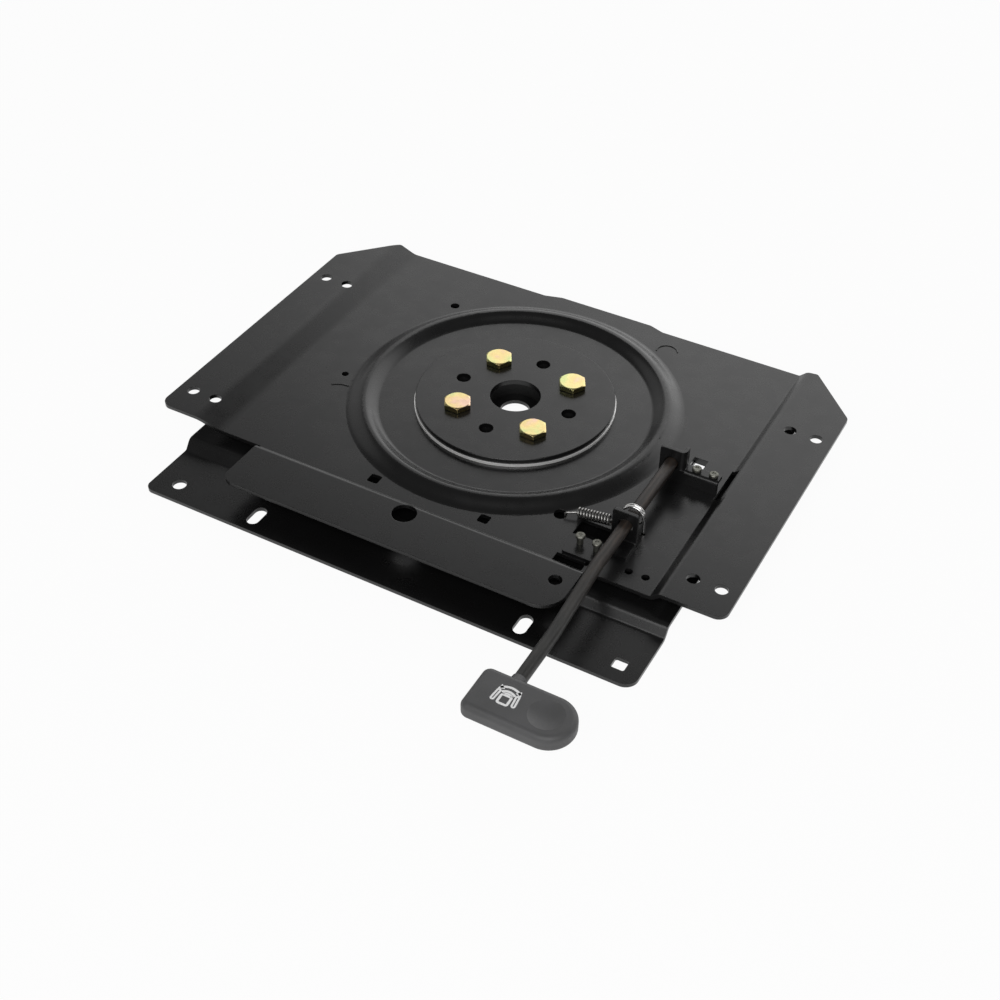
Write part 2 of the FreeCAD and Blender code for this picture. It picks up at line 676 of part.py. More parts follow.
def lock_pawl():
    """Pawl on the rod's end: a hub and an arm whose round tip stands over its slot."""
    half = PAWL_WIDTH / 2
    front, back = pawl_span()
    drop = ROD_Z - PLATEAU_TOP - PAWL_TIP_GAP - half
    reach = drop / math.cos(math.radians(PAWL_ANGLE))
    along = Vec(0, 1, 0)
    arm = box(-half, half, 0, PAWL_T, -reach, 0)
    tip = Part.makeCylinder(half, PAWL_T, Vec(0, 0, -reach), along)
    pawl = Part.makeCylinder(PAWL_HUB_R, PAWL_T, ORIGIN, along).fuse([arm, tip])
    pawl = pawl.cut(Part.makeCylinder(ROD_D / 2, PAWL_T, ORIGIN, along)).removeSplitter()
    pawl.rotate(ORIGIN, along, -PAWL_ANGLE)
    pawl.translate(Vec(ROD_X, front, ROD_Z))
    return pawl


def around_rod(angle, radius):
    """X and Z at an angle about the rod, from straight down towards the left."""
    a = math.radians(angle)
    return ROD_X - radius * math.sin(a), ROD_Z - radius * math.cos(a)


def spring_lug():
    """Lug welded to the rod behind the front ear, with an eye for the pull spring."""
    along = Vec(0, 1, 0)
    arm = box(-LUG_W / 2, LUG_W / 2, 0, LUG_T, -LUG_REACH, 0)
    end = Part.makeCylinder(LUG_W / 2, LUG_T, Vec(0, 0, -LUG_REACH), along)
    eye = Part.makeCylinder(LUG_EYE_R, LUG_T, Vec(0, 0, -LUG_REACH), along)
    rod = Part.makeCylinder(ROD_D / 2, LUG_T, ORIGIN, along)
    lug = arm.fuse(end).cut(Part.makeCompound([eye, rod])).removeSplitter()
    lug.rotate(ORIGIN, along, LUG_ANGLE)
    lug.translate(Vec(ROD_X, LUG_BACK - LUG_T, ROD_Z))
    return lug


def wire_run(points, radius, bend):
    """Round wire along straight runs with an arc at each corner."""
    edges = []
    last = points[0]
    for i in range(1, len(points) - 1):
        back = points[i - 1] - points[i]
        on = points[i + 1] - points[i]
        room = 0.45 * min(back.Length, on.Length)
        back.normalize()
        on.normalize()
        half = back.getAngle(on) / 2
        reach = min(room, bend / math.tan(half))
        r = reach * math.tan(half)
        a = points[i] + back * reach
        b = points[i] + on * reach
        mid = back + on
        mid.normalize()
        edges.append(Part.makeLine(last, a))
        edges.append(Part.Arc(a, points[i] + mid * (r / math.sin(half) - r), b).toShape())
        last = b
    edges.append(Part.makeLine(last, points[-1]))
    path = Part.Wire(edges)
    start = points[1] - points[0]
    section = Part.Wire(Part.makeCircle(radius, points[0], start))
    return path.makePipeShell([section], True, False)


def coil_path(radius, pitch, turns):
    """Edges of a helix about +Z that starts on +X, made of arcs that meet in line."""
    count = math.ceil(ARCS_PER_TURN * turns)

    def at(step):
        a = 2 * math.pi * turns * step / count
        return Vec(radius * math.cos(a), radius * math.sin(a), pitch * turns * step / count)
    return [Part.Arc(at(i), at(i + 0.5), at(i + 1)).toShape() for i in range(count)]


def placed(edges, axis, angle, offset):
    for edge in edges:
        edge.rotate(ORIGIN, axis, angle)
        edge.translate(offset)
    return edges


def sweep(edges, radius):
    """Round wire along edges that run on from each other."""
    first = edges[0]
    start = first.valueAt(first.FirstParameter)
    section = Part.Wire(Part.makeCircle(radius, start, first.tangentAt(first.FirstParameter)))
    return Part.Wire(edges).makePipeShell([section], True, False)


def torsion_spring():
    """Coil about the rod with one leg down into the plate and one beside the lug."""
    count = 1 + (270 - TORSION_LEG_ANGLE) / 360
    centre = Vec(ROD_X, TORSION_REAR, ROD_Z)
    turns = placed(coil_path(TORSION_R, TORSION_PITCH, count), Vec(1, 0, 0), 90, centre)
    first, last = turns[0], turns[-1]
    top = first.valueAt(first.FirstParameter)
    down = first.tangentAt(first.FirstParameter) * -1
    foot = top + down * ((top.z - TORSION_LEG_END) / -down.z)
    end = last.valueAt(last.LastParameter)
    run = last.tangentAt(last.LastParameter)
    ahead = Vec(0, -1, 0)
    inward = ahead - run * ahead.dot(run)
    inward.normalize()
    hub = end + inward * TORSION_BEND_R
    out = run - ahead * run.dot(ahead)
    out.normalize()
    mid = out - inward
    mid.normalize()
    turned = hub + out * TORSION_BEND_R
    bend = Part.Arc(end, hub + mid * TORSION_BEND_R, turned).toShape()
    tip = Vec(turned.x, LUG_BACK - LUG_T, turned.z)
    edges = [Part.makeLine(foot, top)] + turns + [bend, Part.makeLine(turned, tip)]
    return sweep(edges, TORSION_WIRE / 2)


def pull_spring():
    """Extension spring from the hook hole in the plate to the lug on the rod."""
    wire = PULL_WIRE / 2
    a = Vec(PULL_START[0], PULL_Y, PULL_START[1])
    eye_x, eye_z = around_rod(LUG_ANGLE, LUG_REACH)
    eye = Vec(eye_x, PULL_Y, eye_z)
    axis = eye - a
    pitch = (axis.Length - PULL_EYE_GAP) / PULL_TURNS
    axis.normalize()
    turn = 90 - math.degrees(math.atan2(axis.z, axis.x))
    turns = sweep(placed(coil_path(PULL_R, pitch, PULL_TURNS), Vec(0, 1, 0), turn, a), wire)
    side = Vec(axis.z, 0, -axis.x) * PULL_R
    b = a + axis * (pitch * PULL_TURNS)
    x, y, r = HOOK_HOLE
    bearing = x + r - wire - WIRE_GAP
    low = MAIN_TOP - SHEET_T - wire - HOOK_DEPTH
    hook = wire_run([a, Vec(bearing, y, a.z - 1), Vec(bearing, y, low),
                     Vec(bearing + HOOK_RETURN, y, low)], wire, PULL_HOOK_R)
    tail = Vec(0, LUG_BACK - LUG_T - WIRE_GAP - PULL_Y, 0)
    eyelet = wire_run([b, eye, eye + tail], wire, PULL_EYE_R)
    links = [Part.makeCylinder(wire, PULL_R, spot, side) for spot in (a, b)]
    knees = [Part.makeSphere(wire * KNEE, spot) for spot in (a, b, a + side, b + side)]
    return turns.fuse([hook, eyelet] + links + knees)


def all_parts():
    parts = {
        "lower_plate": lower_plate(),
        "backing_plate": backing_plate(),
        "lower_slide_ring": lower_slide_ring(),
        "hub_spacer": hub_spacer(),
        "upper_slide_ring": upper_slide_ring(),
        "bearing_race": bearing_race(),
        "hub_disc": hub_disc(),
        "upper_plate": upper_plate(),
        "rear_bracket": rear_bracket(),
        "front_bracket": front_bracket(),
        "lever_rod": lever_rod(),
        "lever_handle": lever_handle(),
        "lock_pawl": lock_pawl(),
        "spring_lug": spring_lug(),
        "torsion_spring": torsion_spring(),
        "pull_spring": pull_spring(),
    }
    for i, angle in enumerate(bolt_angles()):
        parts[f"pivot_bolt_{i + 1}"] = pivot_bolt(angle)
    for i, (x, y) in enumerate(FRONT_RIVETS):
        parts[f"front_rivet_{i + 1}"] = front_rivet(x, y)
    for i, x in enumerate(REAR_RIVET_X):
        parts[f"rear_rivet_{i + 1}"] = rear_rivet(x)
    return parts


os.makedirs("parts", exist_ok=True)
for name, shape in all_parts().items():
    solids = shape.Solids
    print(name, len(solids), shape.isValid(), round(shape.Volume, 1))
    solid = solids[0] if len(solids) == 1 else shape
    solid.translate(Vec(0, 0, -ORIGIN_LEVEL))
    solid.exportStep(f"parts/{name}.step")
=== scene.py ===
import bmesh
import bpy
import math
from mathutils import Matrix, Vector


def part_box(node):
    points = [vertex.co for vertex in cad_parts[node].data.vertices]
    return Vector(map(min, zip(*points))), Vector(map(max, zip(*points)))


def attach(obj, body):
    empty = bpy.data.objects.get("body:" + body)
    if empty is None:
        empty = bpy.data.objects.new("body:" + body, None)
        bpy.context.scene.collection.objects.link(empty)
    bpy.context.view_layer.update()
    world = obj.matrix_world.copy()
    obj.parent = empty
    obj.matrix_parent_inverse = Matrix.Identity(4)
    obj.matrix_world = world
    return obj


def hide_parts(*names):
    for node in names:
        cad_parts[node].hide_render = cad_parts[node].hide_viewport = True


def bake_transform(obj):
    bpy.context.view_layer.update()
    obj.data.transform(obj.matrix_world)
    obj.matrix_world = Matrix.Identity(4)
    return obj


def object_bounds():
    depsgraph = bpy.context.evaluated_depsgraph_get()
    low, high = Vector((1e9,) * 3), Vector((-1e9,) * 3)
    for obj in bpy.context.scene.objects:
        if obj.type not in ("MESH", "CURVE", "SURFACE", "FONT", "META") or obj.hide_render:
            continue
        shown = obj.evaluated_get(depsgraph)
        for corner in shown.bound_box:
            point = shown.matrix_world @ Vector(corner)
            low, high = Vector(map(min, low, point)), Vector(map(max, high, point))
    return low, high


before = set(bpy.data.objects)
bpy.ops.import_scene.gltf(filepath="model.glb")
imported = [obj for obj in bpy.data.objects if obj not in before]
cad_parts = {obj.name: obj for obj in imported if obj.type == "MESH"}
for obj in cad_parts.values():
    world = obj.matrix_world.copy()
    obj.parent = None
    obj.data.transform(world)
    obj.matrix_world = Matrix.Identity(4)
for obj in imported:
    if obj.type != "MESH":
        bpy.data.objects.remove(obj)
cad_low, cad_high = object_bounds()

# Looks of a black swivel seat base, in metres, in the frame of its CAD model.
MM = 0.001

# Camera at the photograph's viewing angle
CAMERA_AT = Vector((0.4110, -0.7747, 0.6901))
CAMERA_TURN = 28.635
CAMERA_TILT = 41.595
CAMERA_ROLL = 0.68
CAMERA_LENS = 53.31
SENSOR = 36.0

# Floor: half its width in metres, the share of it that is plain white to the camera while
# the rest takes the shadow, and the tone of that rest
FLOOR_HALF = 6.0
FLOOR_WHITE = 0.95
FLOOR_TONE = (0.8, 0.8, 0.8, 1.0)

# Soft boxes: azimuth (0 is +Y, positive to the right) and elevation in degrees seen from
# the part, then distance, width and height in metres, and radiance. Each stands at its own
# distance, because lamps that lie in one plane hide each other in reflections.
SOFT_BOXES = (
    ("back_core", 8.0, 22.0, 2.7, 2.6, 2.4, 0.37),
    ("back_box", 0.0, 22.0, 3.1, 4.1, 3.1, 0.52),
    ("back_wash", 0.0, 22.0, 3.6, 6.7, 3.65, 0.66),
    ("left_wash", -82.0, 18.0, 4.3, 5.2, 3.2, 0.42),
    ("top_box", 160.0, 40.0, 2.6, 2.6, 1.5, 3.4),
)
WORLD_FILL = 0.12

# Rays that round an edge off in a material
BEVEL_SAMPLES = 4

# Sign on the handle, in millimetres: centre, ink thickness and line widths
SIGN_CENTRE = (142.2, -271.0)
INK = 0.05
LINE = 1.6
THIN_LINE = 1.25
WHITE_INK = (0.95, 0.95, 0.95)
# Cushion and right arm: centre, width, height and corner radius. The arms lean by ARM_LEAN.
CUSHION = (0.0, -3.5, 6.6, 6.8, 1.0)
ARM = (6.6, -1.9, 1.9, 8.6, 0.9)
ARM_LEAN = 6.0
# Arcs about one point: radius, start angle, steps and line width of the seat's back
SIGN_PIVOT = (0.0, -3.4)
BACK_ARCS = ((6.6, 48, 12, LINE), (4.9, 52, 10, THIN_LINE))
# Double arrow: radius, start angle, steps, the angle by which its heads reach on, the share
# by which they stand out, their drop, their size and their turn from the arc's end
SWEEP_R = 10.0
SWEEP_START = 48.0
SWEEP_STEPS = 16
HEAD_AHEAD = 8
HEAD_OUT = 1.01
HEAD_DROP = 0.6
HEAD_SIZE = 4.0
HEAD_TURN = 96
CORNER_STEPS = 4

# Upper plate's pressing about the hub: radius and height of its upper face above the
# plane on which the base stands, in millimetres, joined by soft steps
PRESSING = ((52.4, 15.7), (72.3, 15.7), (74.8, 19.1), (101.8, 19.1), (112.0, 24.6),
            (113.2, 24.6), (126.4, 19.0), (127.6, 19.0))
# Radii of the rings that the new floor is made of, from the bead to the bore
PRESSING_RINGS = (105.6, 104.6, 103.6, 102.6, 101.8, 88.0, 75.0, 74.2, 73.6, 73.0, 72.2, 52.4)
# The same face in the CAD solid from the bead's inner foot on, and the sheet's thickness
SOLID_FACE = ((106.5, 15.7), (107.9, 16.6), (111.1, 22.6), (113.2, 24.6), (114.4, 25.0),
              (116.0, 25.0), (118.5, 23.8), (122.6, 20.3), (125.5, 19.2), (130.0, 19.0))
SHEET_T = 3.0
# Vertices closer than this, in metres, are one. Edges of the bead longer than LONG_EDGE
# are cut. A face whose normal rises above FLAT stays flat, and an edge that turns by
# more than CREASE degrees stays sharp.
WELD = 1e-6
RING_SLACK = 0.1
LONG_EDGE = 1.6
LONG_EDGE_CUTS = 2
FLAT = 0.99999
CREASE = 30

# Half-sheared marks beside the bead, in millimetres: centre, radius, first and last angle
MARKS = ((-120.2, -61.2, 15.9, 86.0, 135.0), (72.2, 114.9, 8.3, 20.0, 199.0))
MARK_HEIGHT = 0.5
MARK_WIDTH = 1.1
MARK_STEPS = 14

# Springs between the plate and the lever: the place, in metres, up to which each follows
# the plate, and the place from which it follows the lever
SPRING_RUNS = {
    "pull_spring": ((0.0985, -0.0911, 0.0141), (0.1234, -0.0911, 0.0182)),
    "torsion_spring": ((0.1371, -0.0856, 0.0255), (0.1371, -0.0880, 0.0255)),
}


class Nodes:
    """Small helper that builds a material's node tree."""

    def __init__(self, name):
        self.material = bpy.data.materials.new(name)
        self.material.use_nodes = True
        self.tree = self.material.node_tree
        self.shader = self.tree.nodes["Principled BSDF"]
        self.place = self.tree.nodes.new("ShaderNodeTexCoord").outputs["Object"]

    def add(self, kind, **values):
        """New node whose sockets take the values, or links where a value is a socket."""
        node = self.tree.nodes.new(kind)
        for key, value in values.items():
            socket = node.inputs[key.replace("_", " ")]
            if isinstance(value, bpy.types.NodeSocket):
                self.tree.links.new(value, socket)
            else:
                socket.default_value = value
        return node

    def noise(self, scale, detail=3.0, roughness=0.5, place=None):
        """Noise from 0 to 1 over the piece."""
        node = self.add("ShaderNodeTexNoise", Vector=place or self.place, Scale=scale,
                        Detail=detail, Roughness=roughness)
        return node.outputs["Fac"]

    def stretched(self, x, y, z):
        """Object place scaled along each axis, for streaks."""
        node = self.add("ShaderNodeMapping", Vector=self.place)
        node.inputs["Scale"].default_value = (x, y, z)
        return node.outputs["Vector"]

    def span(self, value, low, high, start=0.3, stop=0.7):
        """Maps a value from start..stop to low..high."""
        node = self.add("ShaderNodeMapRange", Value=value)
        node.inputs["From Min"].default_value = start
        node.inputs["From Max"].default_value = stop
        node.inputs["To Min"].default_value = low
        node.inputs["To Max"].default_value = high
        return node.outputs["Result"]

    def ramp(self, value, stops):
        """Colour ramp through (position, colour) stops."""
        node = self.add("ShaderNodeValToRGB", Fac=value)
        points = node.color_ramp.elements
        while len(points) < len(stops):
            points.new(0.5)
        for point, (at, colour) in zip(points, stops):
            point.position = at
            point.color = (*colour, 1.0)
        return node.outputs["Color"]

    def blend(self, share, first, second):
        """Colour between two others."""
        node = self.tree.nodes.new("ShaderNodeMixRGB")
        for socket, value in zip(node.inputs, (share, first, second)):
            self.tree.links.new(value, socket)
        return node.outputs["Color"]

    def edges(self, radius):
        """Normal that rounds sharp edges off by a radius in metres."""
        node = self.add("ShaderNodeBevel", Radius=radius)
        node.samples = BEVEL_SAMPLES
        return node.outputs["Normal"]

    def bumps(self, height, strength, distance, normal=None):
        """Normal with a fine relief, on top of another normal where one is given."""
        node = self.add("ShaderNodeBump", Height=height, Strength=strength, Distance=distance)
        if normal is not None:
            self.tree.links.new(normal, node.inputs["Normal"])
        return node.outputs["Normal"]

    def finish(self, **values):
        """Sets the shader's sockets and returns the material."""
        for key, value in values.items():
            socket = self.shader.inputs[key.replace("_", " ")]
            if isinstance(value, bpy.types.NodeSocket):
                self.tree.links.new(value, socket)
            else:
                socket.default_value = value
        return self.material


def black_powder():
    """Smooth semi-gloss powder coat with a faint orange peel."""
    m = Nodes("black_powder_coat")
    tone = m.ramp(m.noise(9.0, 2.0), [(0.3, (0.0052, 0.0051, 0.0051)),
                                      (0.7, (0.0066, 0.0066, 0.0068))])
    peel = m.noise(650.0, 2.0)
    fine = m.noise(3200.0, 1.0)
    normal = m.bumps(peel, 0.06, 0.00012, m.edges(0.0005))
    normal = m.bumps(fine, 0.05, 0.00003, normal)
    rough = m.span(m.noise(70.0, 4.0), 0.25, 0.31)
    return m.finish(Base_Color=tone, Roughness=rough, Normal=normal)


def black_nylon():
    """Matt turned nylon."""
    m = Nodes("black_nylon")
    tone = m.ramp(m.noise(60.0), [(0.3, (0.008, 0.008, 0.008)), (0.7, (0.012, 0.012, 0.012))])
    turned = m.bumps(m.noise(900.0, 2.0), 0.25, 0.0001, m.edges(0.0003))
    return m.finish(Base_Color=tone, Roughness=0.5, Specular_IOR_Level=0.25,
                    Normal=turned)


def bright_steel():
    """Turned ring with fine concentric lines."""
    m = Nodes("bright_turned_steel")
    rings = m.add("ShaderNodeTexWave", Vector=m.place, Scale=420.0, Distortion=1.0, Detail=2.0)
    rings.wave_type = "RINGS"
    rings.rings_direction = "Z"
    tone = m.ramp(m.noise(120.0), [(0.3, (0.94, 0.93, 0.92)), (0.7, (0.98, 0.98, 0.97))])
    normal = m.bumps(rings.outputs["Fac"], 0.04, 0.00002, m.edges(0.0002))
    return m.finish(Base_Color=tone, Metallic=0.5, Roughness=0.4, Normal=normal)


def spring_wire():
    """Bright drawn wire."""
    m = Nodes("bright_spring_wire")
    tone = m.ramp(m.noise(500.0), [(0.3, (0.70, 0.70, 0.70)), (0.7, (0.88, 0.87, 0.85))])
    return m.finish(Base_Color=tone, Metallic=1.0, Roughness=m.span(m.noise(1500.0), 0.16, 0.28))


def dark_wire():
    """Oiled grey spring wire."""
    m = Nodes("oiled_spring_wire")
    tone = m.ramp(m.noise(500.0), [(0.3, (0.25, 0.25, 0.24)), (0.7, (0.40, 0.39, 0.38))])
    return m.finish(Base_Color=tone, Metallic=1.0, Roughness=m.span(m.noise(1500.0), 0.2, 0.34))


def yellow_zinc():
    """Yellow passivated zinc with its green and pink play of colour."""
    m = Nodes("yellow_zinc_plate")
    cloud = m.noise(62.0, 2.0, 0.5)
    tone = m.ramp(cloud, [(0.36, (0.62, 0.66, 0.30)), (0.46, (0.76, 0.68, 0.31)),
                          (0.56, (0.80, 0.62, 0.29)), (0.68, (0.80, 0.56, 0.42))])
    marks = m.bumps(m.noise(900.0, 2.0), 0.12, 0.00004, m.edges(0.0006))
    return m.finish(Base_Color=tone, Metallic=1.0, Roughness=m.span(m.noise(260.0), 0.17, 0.25),
                    Normal=marks)


def dull_steel():
    """Dull rivet steel with small dents."""
    m = Nodes("dull_rivet_steel")
    tone = m.ramp(m.noise(420.0, 4.0), [(0.3, (0.13, 0.13, 0.11)), (0.7, (0.26, 0.26, 0.23))])
    dents = m.bumps(m.noise(1500.0, 3.0), 0.5, 0.00008, m.edges(0.0004))
    return m.finish(Base_Color=tone, Metallic=0.9, Roughness=0.42, Normal=dents)


def dark_rod():
    """Thin brown-black coat drawn out along the bar."""
    m = Nodes("dark_rod_coat")
    along = m.stretched(1.0, 0.12, 1.0)
    streaks = m.noise(420.0, 4.0, 0.6, along)
    brown = m.ramp(streaks, [(0.32, (0.012, 0.009, 0.008)), (0.55, (0.025, 0.019, 0.015)),
                             (0.75, (0.050, 0.033, 0.023))])
    grey = m.ramp(streaks, [(0.32, (0.018, 0.018, 0.017)), (0.75, (0.040, 0.039, 0.037))])
    length = m.add("ShaderNodeSeparateXYZ", Vector=m.place).outputs["Y"]
    tone = m.blend(m.span(length, 1.0, 0.0, -0.20, -0.12), brown, grey)
    lines = m.bumps(m.noise(1600.0, 3.0, 0.5, along), 0.3, 0.00005)
    return m.finish(Base_Color=tone, Roughness=m.span(m.noise(300.0, 3.0, 0.5, along), 0.34, 0.48),
                    Normal=lines)


def handle_plastic():
    """Fine-textured moulded plastic."""
    m = Nodes("textured_black_plastic")
    tone = m.ramp(m.noise(35.0), [(0.3, (0.076, 0.076, 0.077)), (0.7, (0.092, 0.092, 0.094))])
    grain = m.bumps(m.noise(1900.0, 3.0), 0.5, 0.00006)
    return m.finish(Base_Color=tone, Roughness=m.span(m.noise(900.0), 0.46, 0.56), Normal=grain)


def white_print():
    """White ink."""
    m = Nodes("white_print")
    tone = m.ramp(m.noise(1500.0), [(0.3, (0.88, 0.88, 0.88)), (0.7, WHITE_INK)])
    return m.finish(Base_Color=tone, Roughness=0.5)


def dress(names, material):
    """Gives CAD nodes their material."""
    for name in names:
        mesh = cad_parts[name].data
        mesh.materials.clear()
        mesh.materials.append(material)


def dress_nodes(powder):
    """Gives every CAD node its material."""
    nylon = black_nylon()
    bolts = [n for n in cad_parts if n.startswith("pivot_bolt")]
    rivets = [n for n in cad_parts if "rivet" in n]
    dress(["lower_plate", "upper_plate", "hub_disc", "rear_bracket", "front_bracket",
           "backing_plate"], powder)
    dress(["lower_slide_ring", "upper_slide_ring", "hub_spacer"], nylon)
    dress(["bearing_race"], bright_steel())
    dress(["torsion_spring"], spring_wire())
    dress(["pull_spring"], dark_wire())
    dress(bolts, yellow_zinc())
    dress(rivets, dull_steel())
    dress(["lever_rod", "lock_pawl", "spring_lug"], dark_rod())
    dress(["lever_handle"], handle_plastic())


def pressed_level(radius):
    """Height of the pressing's upper face at a radius."""
    for (r0, z0), (r1, z1) in zip(PRESSING, PRESSING[1:]):
        if radius <= r1:
            s = max((radius - r0) / (r1 - r0), 0.0)
            return z0 + (z1 - z0) * s * s * (3 - 2 * s)
    return PRESSING[-1][1]


def solid_level(radius):
    """Height of the solid's upper face at a radius in the bead."""
    for (r0, z0), (r1, z1) in zip(SOLID_FACE, SOLID_FACE[1:]):
        if radius <= r1:
            return z0 + (z1 - z0) * max((radius - r0) / (r1 - r0), 0.0)
    return SOLID_FACE[-1][1]


def radius_of(vert):
    """Distance from the swivel axis in millimetres."""
    return math.hypot(vert.co.x, vert.co.y) / MM


def floor_rings(bm, loop):
    """Adds rings of quads from a loop of the bead inwards to the bore. Returns the last ring."""
    verts = sorted({v for e in loop for v in e.verts}, key=lambda v: math.atan2(v.co.y, v.co.x))
    drop = pressed_level(radius_of(verts[0])) * MM + cad_low.z - verts[0].co.z
    for radius in PRESSING_RINGS:
        z = pressed_level(radius) * MM + cad_low.z - drop
        ring = []
        for v in verts:
            scale = radius / radius_of(v)
            ring.append(bm.verts.new((v.co.x * scale, v.co.y * scale, z)))
        for i, vert in enumerate(verts):
            bm.faces.new((verts[i - 1], vert, ring[i], ring[i - 1]))
        verts = ring
    return verts


def pressed_sheet():
    """Upper plate with its bead and the floor about the hub as softly pressed as the real one."""
    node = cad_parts["upper_plate"]
    bm = bmesh.new()
    bm.from_mesh(node.data)
    bm.transform(node.matrix_world)
    bmesh.ops.remove_doubles(bm, verts=bm.verts, dist=WELD)
    inside = SOLID_FACE[0][0] + RING_SLACK
    floor = [f for f in bm.faces if all(radius_of(v) < inside for v in f.verts)]
    bmesh.ops.delete(bm, geom=floor, context="FACES")
    outside = PRESSING[-1][0]
    start = inside - 2 * RING_SLACK
    long_edges = [e for e in bm.edges if all(start < radius_of(v) < outside for v in e.verts)
                  and abs(radius_of(e.verts[0]) - radius_of(e.verts[1])) > LONG_EDGE]
    bmesh.ops.subdivide_edges(bm, edges=long_edges, cuts=LONG_EDGE_CUTS, use_grid_fill=True)
    for v in bm.verts:
        radius = radius_of(v)
        if radius < outside:
            level = (v.co.z - cad_low.z) / MM
            below = SHEET_T if level < solid_level(radius) - SHEET_T / 2 else 0.0
            v.co.z = (pressed_level(radius) - below) * MM + cad_low.z
    rim = [e for e in bm.edges if e.is_boundary]
    middle = sum(e.verts[0].co.z for e in rim) / len(rim)
    ends = [floor_rings(bm, [e for e in rim if (e.verts[0].co.z > middle) == upper])
            for upper in (True, False)]
    bore = [bm.edges.get((ring[i - 1], ring[i])) for ring in ends for i in range(len(ring))]
    bmesh.ops.bridge_loops(bm, edges=bore)
    bmesh.ops.recalc_face_normals(bm, faces=bm.faces)
    for f in bm.faces:
        f.smooth = abs(f.normal.z) < FLAT
    for e in bm.edges:
        e.smooth = e.calc_face_angle(0.0) < math.radians(CREASE)
    mesh = bpy.data.meshes.new("upper_plate_sheet")
    bm.to_mesh(mesh)
    bm.free()
    sheet = new_piece("upper_plate_sheet", mesh, "upper", "upper_plate")
    return sheet


def new_piece(name, mesh, body, replaced=None):
    """Object that moves with a body, and stands for a CAD node where one is named."""
    piece = bpy.data.objects.new(name, mesh)
    bpy.context.scene.collection.objects.link(piece)
    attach(piece, body)
    if replaced:
        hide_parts(replaced)
    return piece


def live_springs():
    """Copies of the springs, baked in place, that stand for their CAD nodes."""
    for node, (start, end) in SPRING_RUNS.items():
        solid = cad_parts[node]
        mesh = solid.data.copy()
        mesh.transform(solid.matrix_world)
        spring = bpy.data.objects.new(node + "_wire", mesh)
        bpy.context.scene.collection.objects.link(spring)
        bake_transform(spring)
        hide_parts(node)


def arc(x, y, radius, start, stop, steps):
    """Points of an arc in a plane, with angles in degrees."""
    turns = [math.radians(start + (stop - start) * i / steps) for i in range(steps + 1)]
    return [(x + radius * math.cos(a), y + radius * math.sin(a)) for a in turns]


def rounded_box(x, y, width, height, radius, lean=0.0):
    """Outline of a rounded rectangle that leans over by an angle in degrees."""
    points = []
    for turn, (sx, sy) in enumerate(((1, 1), (-1, 1), (-1, -1), (1, -1))):
        points += arc(sx * (width / 2 - radius), sy * (height / 2 - radius), radius,
                      90 * turn, 90 * turn + 90, CORNER_STEPS)
    a = math.radians(lean)
    return [(x + px * math.cos(a) - py * math.sin(a), y + px * math.sin(a) + py * math.cos(a))
            for px, py in points]


def stroke(bm, path, width, closed=False, height=INK):
    """Adds a flat raised line along a path, in millimetres."""
    count = len(path)
    rails = []
    for i, (x, y) in enumerate(path):
        before = path[(i - 1) % count] if closed or i else path[0]
        after = path[(i + 1) % count] if closed or i < count - 1 else path[-1]
        run = Vector((after[0] - before[0], after[1] - before[1])).normalized()
        side = Vector((-run.y, run.x)) * width / 2
        rails.append((Vector((x, y)) + side, Vector((x, y)) - side))
    corners = [[bm.verts.new((p.x, p.y, z)) for p in pair for z in (0.0, height)]
               for pair in rails]
    pairs = list(zip(corners, corners[1:] + corners[:1]))
    for a, b in pairs if closed else pairs[:-1]:
        for i, j in ((0, 1), (1, 3), (3, 2), (2, 0)):
            bm.faces.new((a[i], a[j], b[j], b[i]))
    if not closed:
        for end in (corners[0], corners[-1]):
            bm.faces.new((end[0], end[1], end[3], end[2]))


def arrow_head(bm, tip, angle, length, width):
    """Adds a solid triangle that points along an angle in degrees."""
    a = math.radians(angle)
    ahead = Vector((math.cos(a), math.sin(a)))
    side = Vector((-ahead.y, ahead.x)) * width / 2
    base = Vector(tip) - ahead * length
    outline = [Vector(tip), base + side, base - side]
    low = [bm.verts.new((p.x, p.y, 0.0)) for p in outline]
    high = [bm.verts.new((p.x, p.y, INK)) for p in outline]
    bm.faces.new(low)
    bm.faces.new(high)
    for i in range(3):
        j = (i + 1) % 3
        bm.faces.new((low[i], low[j], high[j], high[i]))


def handle_sign():
    """Plain sign for a seat that turns: cushion, arms and back from above under a double arrow."""
    bm = bmesh.new()
    stroke(bm, rounded_box(*CUSHION), LINE, closed=True)
    x, *rest = ARM
    for side in (-1, 1):
        arm = rounded_box(side * x, *rest, lean=side * ARM_LEAN)
        stroke(bm, arm, THIN_LINE, closed=True)
    for radius, start, steps, width in BACK_ARCS:
        stroke(bm, arc(*SIGN_PIVOT, radius, start, 180 - start, steps), width)
    stroke(bm, arc(*SIGN_PIVOT, SWEEP_R, SWEEP_START, 180 - SWEEP_START, SWEEP_STEPS), LINE)
    a = math.radians(SWEEP_START - HEAD_AHEAD)
    heading = SWEEP_START - HEAD_TURN
    for side in (-1, 1):
        tip = (side * SWEEP_R * math.cos(a) * HEAD_OUT,
               SIGN_PIVOT[1] + SWEEP_R * math.sin(a) - HEAD_DROP)
        arrow_head(bm, tip, heading if side > 0 else 180 - heading, HEAD_SIZE, HEAD_SIZE)
    bmesh.ops.recalc_face_normals(bm, faces=bm.faces)
    mesh = bpy.data.meshes.new("handle_sign")
    bm.to_mesh(mesh)
    bm.free()
    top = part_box("lever_handle")[1].z
    mesh.transform(Matrix.Translation((SIGN_CENTRE[0] * MM, SIGN_CENTRE[1] * MM, top))
                   @ Matrix.Diagonal((MM, MM, MM, 1.0)))
    mesh.materials.append(white_print())
    new_piece("handle_sign", mesh, "lever")


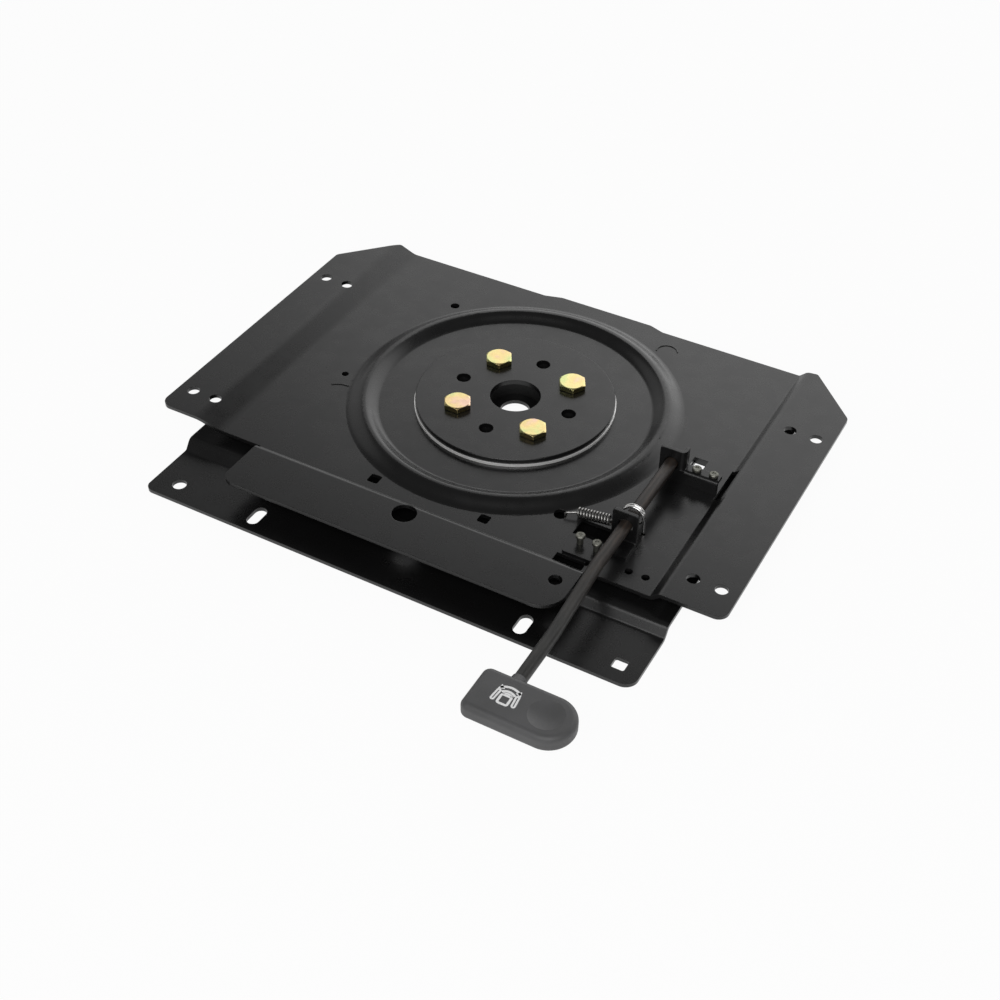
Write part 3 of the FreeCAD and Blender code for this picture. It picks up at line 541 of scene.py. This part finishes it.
def press_marks(material):
    """Two small curved marks, half sheared out of the sheet."""
    bm = bmesh.new()
    for x, y, radius, start, stop in MARKS:
        stroke(bm, arc(x, y, radius, start, stop, MARK_STEPS), MARK_WIDTH, height=MARK_HEIGHT)
    bmesh.ops.recalc_face_normals(bm, faces=bm.faces)
    mesh = bpy.data.meshes.new("press_marks")
    bm.to_mesh(mesh)
    bm.free()
    mesh.transform(Matrix.Translation((0.0, 0.0, SOLID_FACE[-1][1] * MM + cad_low.z))
                   @ Matrix.Diagonal((MM, MM, MM, 1.0)))
    mesh.materials.append(material)
    new_piece("press_marks", mesh, "upper")


def white_floor():
    """Pale floor that stays white to the camera and keeps a soft shadow."""
    mesh = bpy.data.meshes.new("floor")
    corners = [(x * FLOOR_HALF, y * FLOOR_HALF, cad_low.z)
               for x, y in ((-1, -1), (1, -1), (1, 1), (-1, 1))]
    mesh.from_pydata(corners, [], [(0, 1, 2, 3)])
    material = bpy.data.materials.new("white_sweep")
    material.use_nodes = True
    tree = material.node_tree
    tree.nodes.clear()
    out = tree.nodes.new("ShaderNodeOutputMaterial")
    lit = tree.nodes.new("ShaderNodeBsdfDiffuse")
    lit.inputs["Color"].default_value = FLOOR_TONE
    glow = tree.nodes.new("ShaderNodeEmission")
    glow.inputs["Strength"].default_value = 1.0
    mix = tree.nodes.new("ShaderNodeMixShader")
    paths = tree.nodes.new("ShaderNodeLightPath")
    seen = tree.nodes.new("ShaderNodeMath")
    seen.operation = "MAXIMUM"
    share = tree.nodes.new("ShaderNodeMath")
    share.operation = "MULTIPLY"
    share.inputs[1].default_value = FLOOR_WHITE
    tree.links.new(paths.outputs["Is Camera Ray"], seen.inputs[0])
    tree.links.new(paths.outputs["Is Glossy Ray"], seen.inputs[1])
    tree.links.new(seen.outputs[0], share.inputs[0])
    tree.links.new(share.outputs[0], mix.inputs["Fac"])
    tree.links.new(lit.outputs[0], mix.inputs[1])
    tree.links.new(glow.outputs[0], mix.inputs[2])
    tree.links.new(mix.outputs[0], out.inputs["Surface"])
    mesh.materials.append(material)
    floor = bpy.data.objects.new("floor", mesh)
    bpy.context.scene.collection.objects.link(floor)


def soft_boxes():
    """Large lamps round the part, turned to its origin."""
    for name, azimuth, elevation, distance, width, height, radiance in SOFT_BOXES:
        data = bpy.data.lights.new(name, "AREA")
        data.shape = "RECTANGLE"
        data.size = width
        data.size_y = height
        data.energy = radiance * math.pi * width * height
        lamp = bpy.data.objects.new(name, data)
        a = math.radians(azimuth)
        e = math.radians(elevation)
        way = Vector((math.sin(a) * math.cos(e), math.cos(a) * math.cos(e), math.sin(e)))
        lamp.location = way * distance
        lamp.rotation_euler = way.to_track_quat("Z", "Y").to_euler()
        lamp.visible_camera = False
        bpy.context.scene.collection.objects.link(lamp)


def studio_world():
    """White to the camera, a dim even fill for everything else."""
    world = bpy.data.worlds.new("studio")
    world.use_nodes = True
    bpy.context.scene.world = world
    tree = world.node_tree
    back = tree.nodes["Background"]
    back.inputs["Color"].default_value = (1.0, 1.0, 1.0, 1.0)
    paths = tree.nodes.new("ShaderNodeLightPath")
    level = tree.nodes.new("ShaderNodeMapRange")
    level.inputs["To Min"].default_value = WORLD_FILL
    level.inputs["To Max"].default_value = 1.0
    tree.links.new(paths.outputs["Is Camera Ray"], level.inputs["Value"])
    tree.links.new(level.outputs["Result"], back.inputs["Strength"])


def camera():
    """Camera that stands and looks as the photograph's did."""
    a = math.radians(CAMERA_TURN)
    e = math.radians(CAMERA_TILT)
    r = math.radians(CAMERA_ROLL)
    back = Vector((math.sin(a) * math.cos(e), -math.cos(a) * math.cos(e), math.sin(e)))
    right = Vector((math.cos(a), math.sin(a), 0.0))
    up = back.cross(right)
    right, up = (right * math.cos(r) + up * math.sin(r), up * math.cos(r) - right * math.sin(r))
    data = bpy.data.cameras.new("camera")
    data.lens = CAMERA_LENS
    data.sensor_width = SENSOR
    cam = bpy.data.objects.new("camera", data)
    turn = Matrix((right, up, back)).transposed().to_4x4()
    cam.matrix_world = Matrix.Translation(CAMERA_AT) @ turn
    bpy.context.scene.collection.objects.link(cam)
    bpy.context.scene.camera = cam


powder_coat = black_powder()
dress_nodes(powder_coat)
pressed_sheet().data.materials.append(powder_coat)
press_marks(powder_coat)
live_springs()
handle_sign()
white_floor()
soft_boxes()
studio_world()
camera()
bpy.context.scene.view_settings.view_transform = "Standard"
